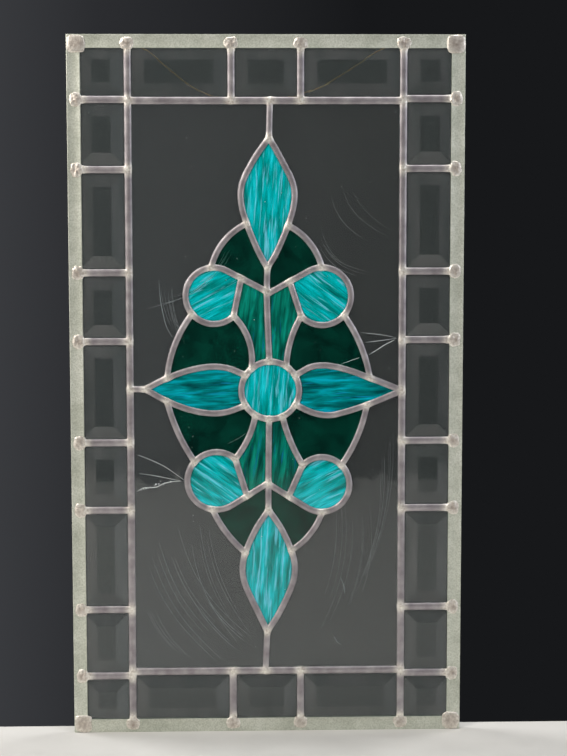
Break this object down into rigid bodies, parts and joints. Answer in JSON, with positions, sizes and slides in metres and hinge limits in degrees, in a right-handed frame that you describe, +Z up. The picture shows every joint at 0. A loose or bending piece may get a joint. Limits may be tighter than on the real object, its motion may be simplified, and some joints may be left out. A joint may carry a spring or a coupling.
{
  "type": "hanging stained glass window panel",
  "caption": "Tall leaded glass panel with a bevelled clear border and a turquoise and green ornament, in a zinc frame with a copper hanging wire.",
  "frame": {"origin": "on the back face of the top frame bar, midway across the panel, at the height of the bar's middle, where the hanging wire's line runs", "axes": "+X to the right seen from the front, +Y out of the panel's back, +Z up"},
  "size_m": [0.3, 0.0095, 0.536],
  "materials": {
    "frame": "drawn zinc with grey patina, bright along its lips, with brownish solder at the corners and joints",
    "lead": "lead came with dull grey skin, rubbed bright on its edges, tinned with solder at the joints",
    "copper": "bare copper wire, lightly tarnished",
    "clear_glass": "clear glass: polished bevelled plates in the border, reamy scratched sheet in the field, with cracks in two panes",
    "streaky_glass": "opalescent turquoise glass streaked with pale blue and deep green",
    "teal_glass": "streaky teal cathedral glass with pale blue wisps",
    "green_glass": "dark bottle green cathedral glass"
  },
  "bodies": {
    "root": {"frame_bar_top": "frame", "frame_bar_bottom": "frame", "frame_bar_left": "frame", "frame_bar_right": "frame", "came_border": "lead", "came_ornament": "lead", "bevel_corner_top_left": "clear_glass", "bevel_corner_top_right": "clear_glass", "bevel_corner_bottom_left": "clear_glass", "bevel_corner_bottom_right": "clear_glass", "bevel_left_1": "clear_glass", "bevel_left_2": "clear_glass", "bevel_left_3": "clear_glass", "bevel_left_4": "clear_glass", "bevel_left_5": "clear_glass", "bevel_left_6": "clear_glass", "bevel_left_7": "clear_glass", "bevel_right_1": "clear_glass", "bevel_right_2": "clear_glass", "bevel_right_3": "clear_glass", "bevel_right_4": "clear_glass", "bevel_right_5": "clear_glass", "bevel_right_6": "clear_glass", "bevel_right_7": "clear_glass", "bevel_top_1": "clear_glass", "bevel_top_2": "clear_glass", "bevel_top_3": "clear_glass", "bevel_bottom_1": "clear_glass", "bevel_bottom_2": "clear_glass", "bevel_bottom_3": "clear_glass", "disc_centre": "streaky_glass", "leaf_left": "streaky_glass", "leaf_right": "streaky_glass", "almond_top": "streaky_glass", "almond_bottom": "streaky_glass", "rosette_top_left": "streaky_glass", "rosette_top_right": "streaky_glass", "rosette_bottom_left": "streaky_glass", "rosette_bottom_right": "streaky_glass", "rib_pane_top_left": "teal_glass", "rib_pane_top_right": "teal_glass", "rib_pane_bottom_left": "teal_glass", "rib_pane_bottom_right": "teal_glass", "arch_pane_top_left": "green_glass", "arch_pane_top_right": "green_glass", "arch_pane_bottom_left": "green_glass", "arch_pane_bottom_right": "green_glass", "shoulder_pane_top_left": "green_glass", "shoulder_pane_top_right": "green_glass", "shoulder_pane_bottom_left": "green_glass", "shoulder_pane_bottom_right": "green_glass", "field_pane_top_left": "clear_glass", "field_pane_top_right": "clear_glass", "field_pane_bottom_left": "clear_glass", "field_pane_bottom_right": "clear_glass", "hanger_left": "copper", "hanger_right": "copper", "hanging_wire": "copper"}
  },
  "joints": []
}
